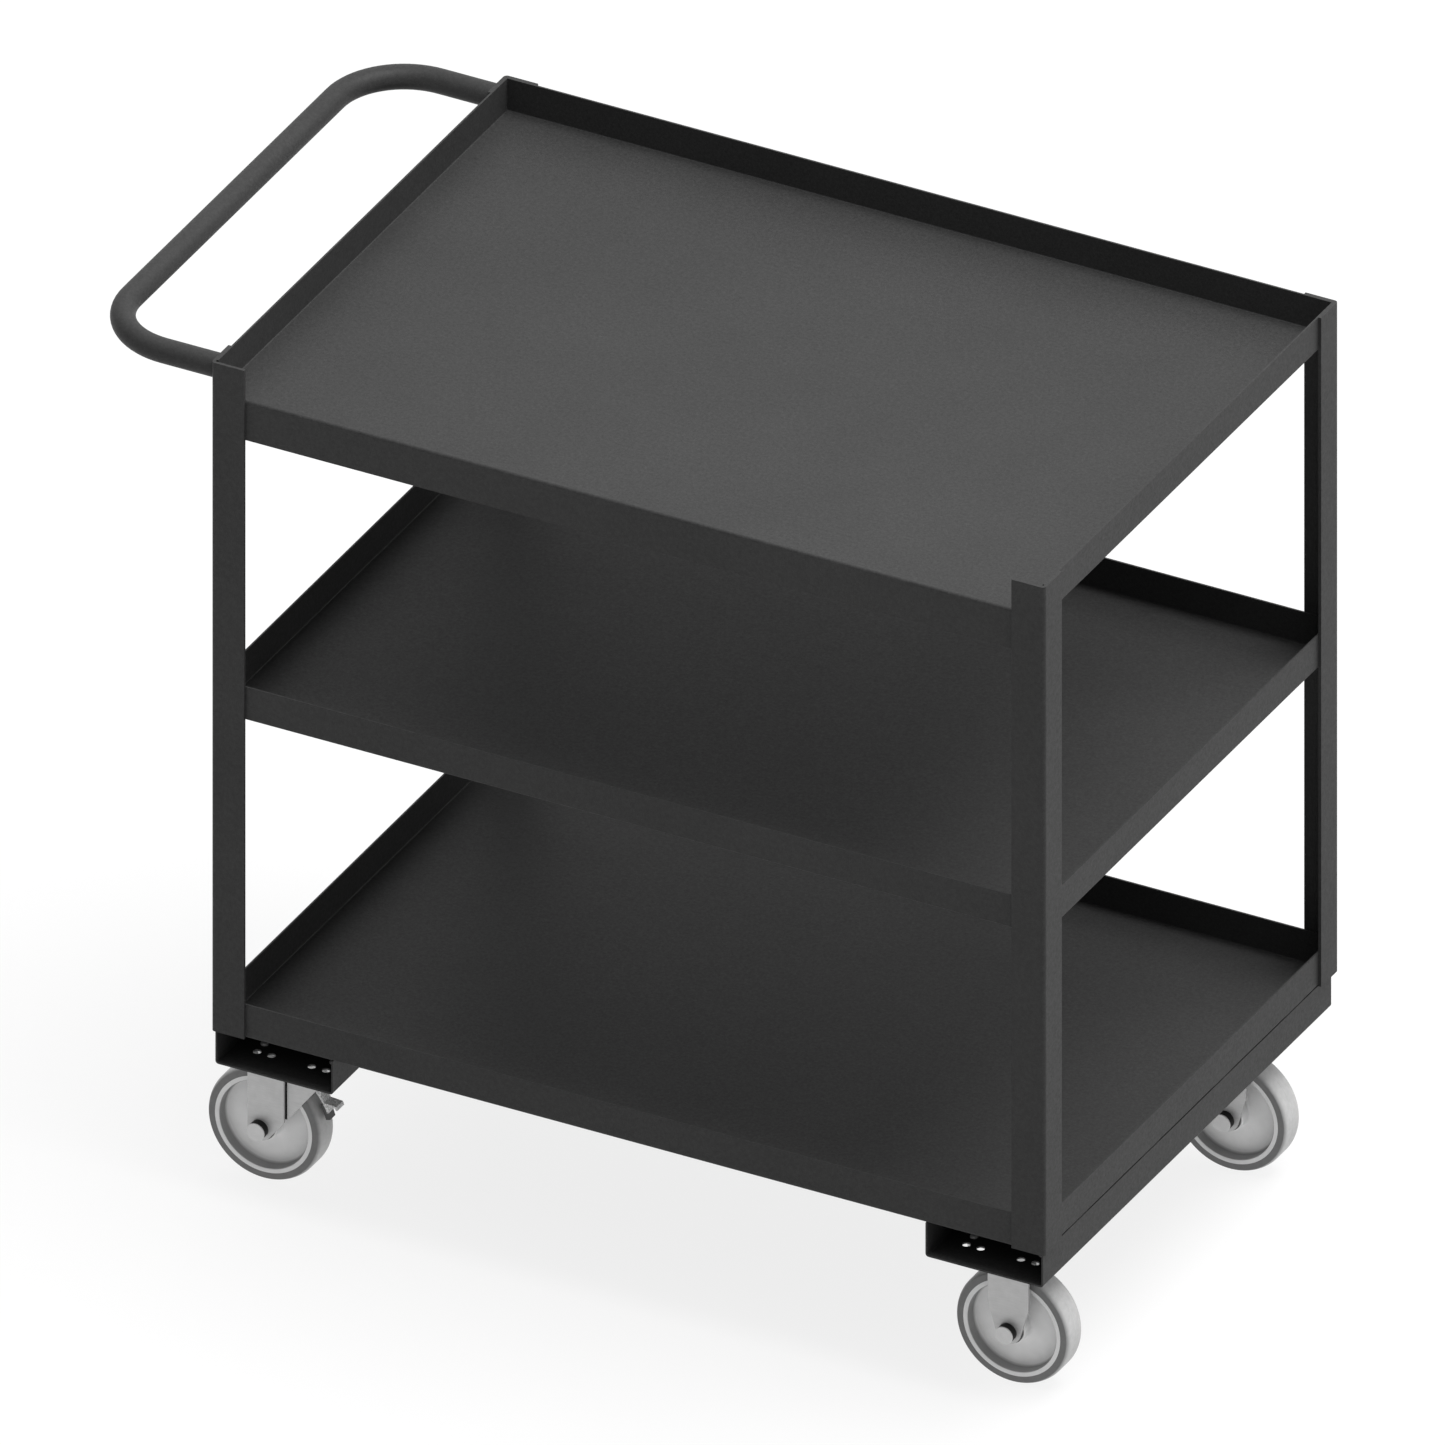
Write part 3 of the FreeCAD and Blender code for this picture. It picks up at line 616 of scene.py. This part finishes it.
def thread_axles():
    """Thread on the tail of each axle bolt and the lock ring let into its nut."""
    for place in PLACES:
        body = "swivel_" + place if place in SWIVEL_PLACES else "root"
        nut_low, nut_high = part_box("axle_nut_" + place)
        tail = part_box("axle_bolt_" + place)[1].y - nut_high.y - THREAD_PITCH
        centre = (nut_low + nut_high) / 2
        centre.y = nut_high.y
        count = round(TURN_STEPS * tail / THREAD_PITCH)
        points = []
        for index in range(count + 1):
            outward = around_axle(2 * math.pi * index / TURN_STEPS)
            points.append(centre + outward * AXLE_RADIUS + Y_AXIS * (tail * index / count))
        thread = bmesh.new()
        add_tube(thread, points, [THREAD_HEIGHT] * len(points))
        piece_from("axle_thread_" + place, thread, body, "zinc_hardware")
        inner = AXLE_RADIUS + THREAD_HEIGHT
        outer = (nut_high.z - nut_low.z) / 2 * LOCK_RING_SHARE
        ring = bmesh.new()
        add_turned(ring, centre, [(inner, -LOCK_RING_ROOT),
                                  (inner, LOCK_RING_HEIGHT - LOCK_RING_CHAMFER),
                                  (inner + LOCK_RING_CHAMFER, LOCK_RING_HEIGHT),
                                  (outer - LOCK_RING_ROUND, LOCK_RING_HEIGHT),
                                  (outer - LOCK_RING_SHOULDER, LOCK_RING_HEIGHT - LOCK_RING_SHOULDER),
                                  (outer, LOCK_RING_HEIGHT - LOCK_RING_ROUND),
                                  (outer, -LOCK_RING_ROOT)])
        piece_from("lock_ring_" + place, ring, body, "bush")


def shade_slits():
    """Black strip with chamfered long edges in the slit of each swivel fork leg, painted shade where the
    slit lies in shade.
    """
    half_x = (SLIT_SHADE_END - SLIT_SHADE_START) / 2
    edge_x = half_x - SLIT_SHADE_CHAMFER_WIDTH
    near = SLIT_SHADE_CHAMFER_DEPTH
    far = SLIT_SHADE_THICKNESS - SLIT_SHADE_CHAMFER_DEPTH
    section = [(-half_x, near), (-edge_x, 0), (edge_x, 0), (half_x, near),
               (half_x, far), (edge_x, SLIT_SHADE_THICKNESS), (-edge_x, SLIT_SHADE_THICKNESS), (-half_x, far)]
    for place in SWIVEL_PLACES:
        low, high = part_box("swivel_fork_" + place)
        middle_x = low.x + (SLIT_SHADE_START + SLIT_SHADE_END) / 2
        front_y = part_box("axle_collar_" + place)[1].y
        rear_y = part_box("axle_nut_" + place)[0].y
        shade_strips = bmesh.new()
        # painted shade: a black strip stands in each slit where only shade would show
        for leg_y, inward in ((front_y, 1), (rear_y, -1)):
            face_y = leg_y + inward * SLIT_SHADE_DEPTH
            rings = []
            for z in (low.z + SLIT_SHADE_FOOT, high.z - SLIT_SHADE_HEAD):
                rings.append([Vector((middle_x + x, face_y + inward * depth, z)) for x, depth in section])
            add_rings(shade_strips, rings, closed=False)
        piece_from("fork_slit_shade_" + place, shade_strips, "swivel_" + place, "black_collar", smooth=False)


def rib_pedals():
    """Grip ribs across the top of each brake pedal."""
    for place in SWIVEL_PLACES:
        low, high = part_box("brake_lever_" + place)
        root_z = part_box("brake_pad_" + place)[1].z
        ribs = bmesh.new()
        for index in range(RIB_COUNT):
            back = RIB_PITCH * (index + 1)
            z = root_z - RIB_LINE_FALL * (1 - back / RIB_LINE_LENGTH)
            start = Vector((high.x - back, low.y + RIB_MARGIN, z))
            points = straight(start, Vector((start.x, high.y - RIB_MARGIN, z)))
            add_tube(ribs, points, [RIB_RADIUS] * len(points))
        piece_from("pedal_ribs_" + place, ribs, "brake_" + place, "brake_steel")


def break_edges():
    """Lightly rounded cut edges on all folded and pressed sheet."""
    for node, piece in NODES.items():
        if node.startswith(SHEET_NODES):
            bevel = piece.modifiers.new("edge_break", "BEVEL")
            bevel.width = EDGE_BREAK
            bevel.segments = EDGE_SEGMENTS
            bevel.limit_method = "ANGLE"
            bevel.angle_limit = EDGE_ANGLE
            bevel.use_clamp_overlap = True


# ---------------------------------------------------------------- camera, light, floor

def make_camera():
    """Parallel camera over the front right corner, aimed a little left of the cart's middle."""
    low, high = CAD_BOX
    level = math.cos(VIEW_ELEVATION)
    back = Vector((math.sin(VIEW_AZIMUTH) * level,
                   -math.cos(VIEW_AZIMUTH) * level,
                   math.sin(VIEW_ELEVATION)))
    right = Vector((math.cos(VIEW_AZIMUTH), math.sin(VIEW_AZIMUTH), 0))
    up = back.cross(right)
    deck_low, deck_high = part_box("bottom_shelf")
    floor_centre = (deck_low + deck_high) / 2
    floor_centre.z = low.z
    data = bpy.data.cameras.new("camera")
    data.type = "ORTHO"
    data.ortho_scale = VIEW_WIDTH
    data.clip_end = 2 * VIEW_DISTANCE + high.length
    camera = bpy.data.objects.new("camera", data)
    camera.rotation_mode = "QUATERNION"
    camera.rotation_quaternion = Matrix((right, up, back)).transposed().to_quaternion()
    camera.location = floor_centre + right * AIM_RIGHT + up * AIM_UP + back * VIEW_DISTANCE
    bpy.context.scene.collection.objects.link(camera)
    bpy.context.scene.camera = camera


def make_key_light():
    """Large square soft light above the right end, which looks at the middle of the cart."""
    low, high = CAD_BOX
    data = bpy.data.lights.new("key", "AREA")
    data.shape = "SQUARE"
    data.size = KEY_SIZE
    data.energy = KEY_POWER
    light = bpy.data.objects.new("key", data)
    light.location = (low + high) / 2 + KEY_DIRECTION.normalized() * KEY_DISTANCE
    light.rotation_mode = "QUATERNION"
    light.rotation_quaternion = KEY_DIRECTION.to_track_quat("Z", "Y")
    bpy.context.scene.collection.objects.link(light)


def make_surroundings():
    """White surroundings that brighten toward one side."""
    world = bpy.data.worlds.new("surroundings")
    world.use_nodes = True
    nodes = world.node_tree.nodes
    links = world.node_tree.links
    toward = nodes.new("ShaderNodeVectorMath")
    toward.operation = "DOT_PRODUCT"
    toward.inputs[1].default_value = BRIGHT_SIDE.normalized()
    links.new(nodes.new("ShaderNodeTexCoord").outputs["Generated"], toward.inputs[0])
    level = nodes.new("ShaderNodeMapRange")
    level.interpolation_type = "SMOOTHSTEP"
    level.inputs["From Min"].default_value = WORLD_FADE_START
    level.inputs["From Max"].default_value = WORLD_FADE_END
    level.inputs["To Min"].default_value = WORLD_DIM
    level.inputs["To Max"].default_value = WORLD_BRIGHT
    links.new(toward.outputs["Value"], level.inputs["Value"])
    backdrop = nodes["Background"]
    backdrop.inputs["Color"].default_value = (1, 1, 1, 1)
    links.new(level.outputs["Result"], backdrop.inputs["Strength"])
    bpy.context.scene.world = world
    bpy.context.scene.view_settings.view_transform = "Standard"


def make_floor():
    """Wide plain floor under the wheels."""
    floor_mesh = bmesh.new()
    bmesh.ops.create_grid(floor_mesh, x_segments=FLOOR_CELLS, y_segments=FLOOR_CELLS, size=FLOOR_HALF)
    mesh = bpy.data.meshes.new("floor")
    floor_mesh.to_mesh(mesh)
    floor_mesh.free()
    floor = bpy.data.objects.new("floor", mesh)
    floor.location.z = CAD_BOX[0].z
    floor.data.materials.append(floor_finish())
    bpy.context.scene.collection.objects.link(floor)


# ---------------------------------------------------------------- build

make_camera()
make_key_light()
make_surroundings()
make_floor()
paint_cad_nodes()
break_edges()
weld_posts()
weld_channels()
weld_handle()
weld_rigid_forks()
thread_axles()
shade_slits()
rib_pedals()
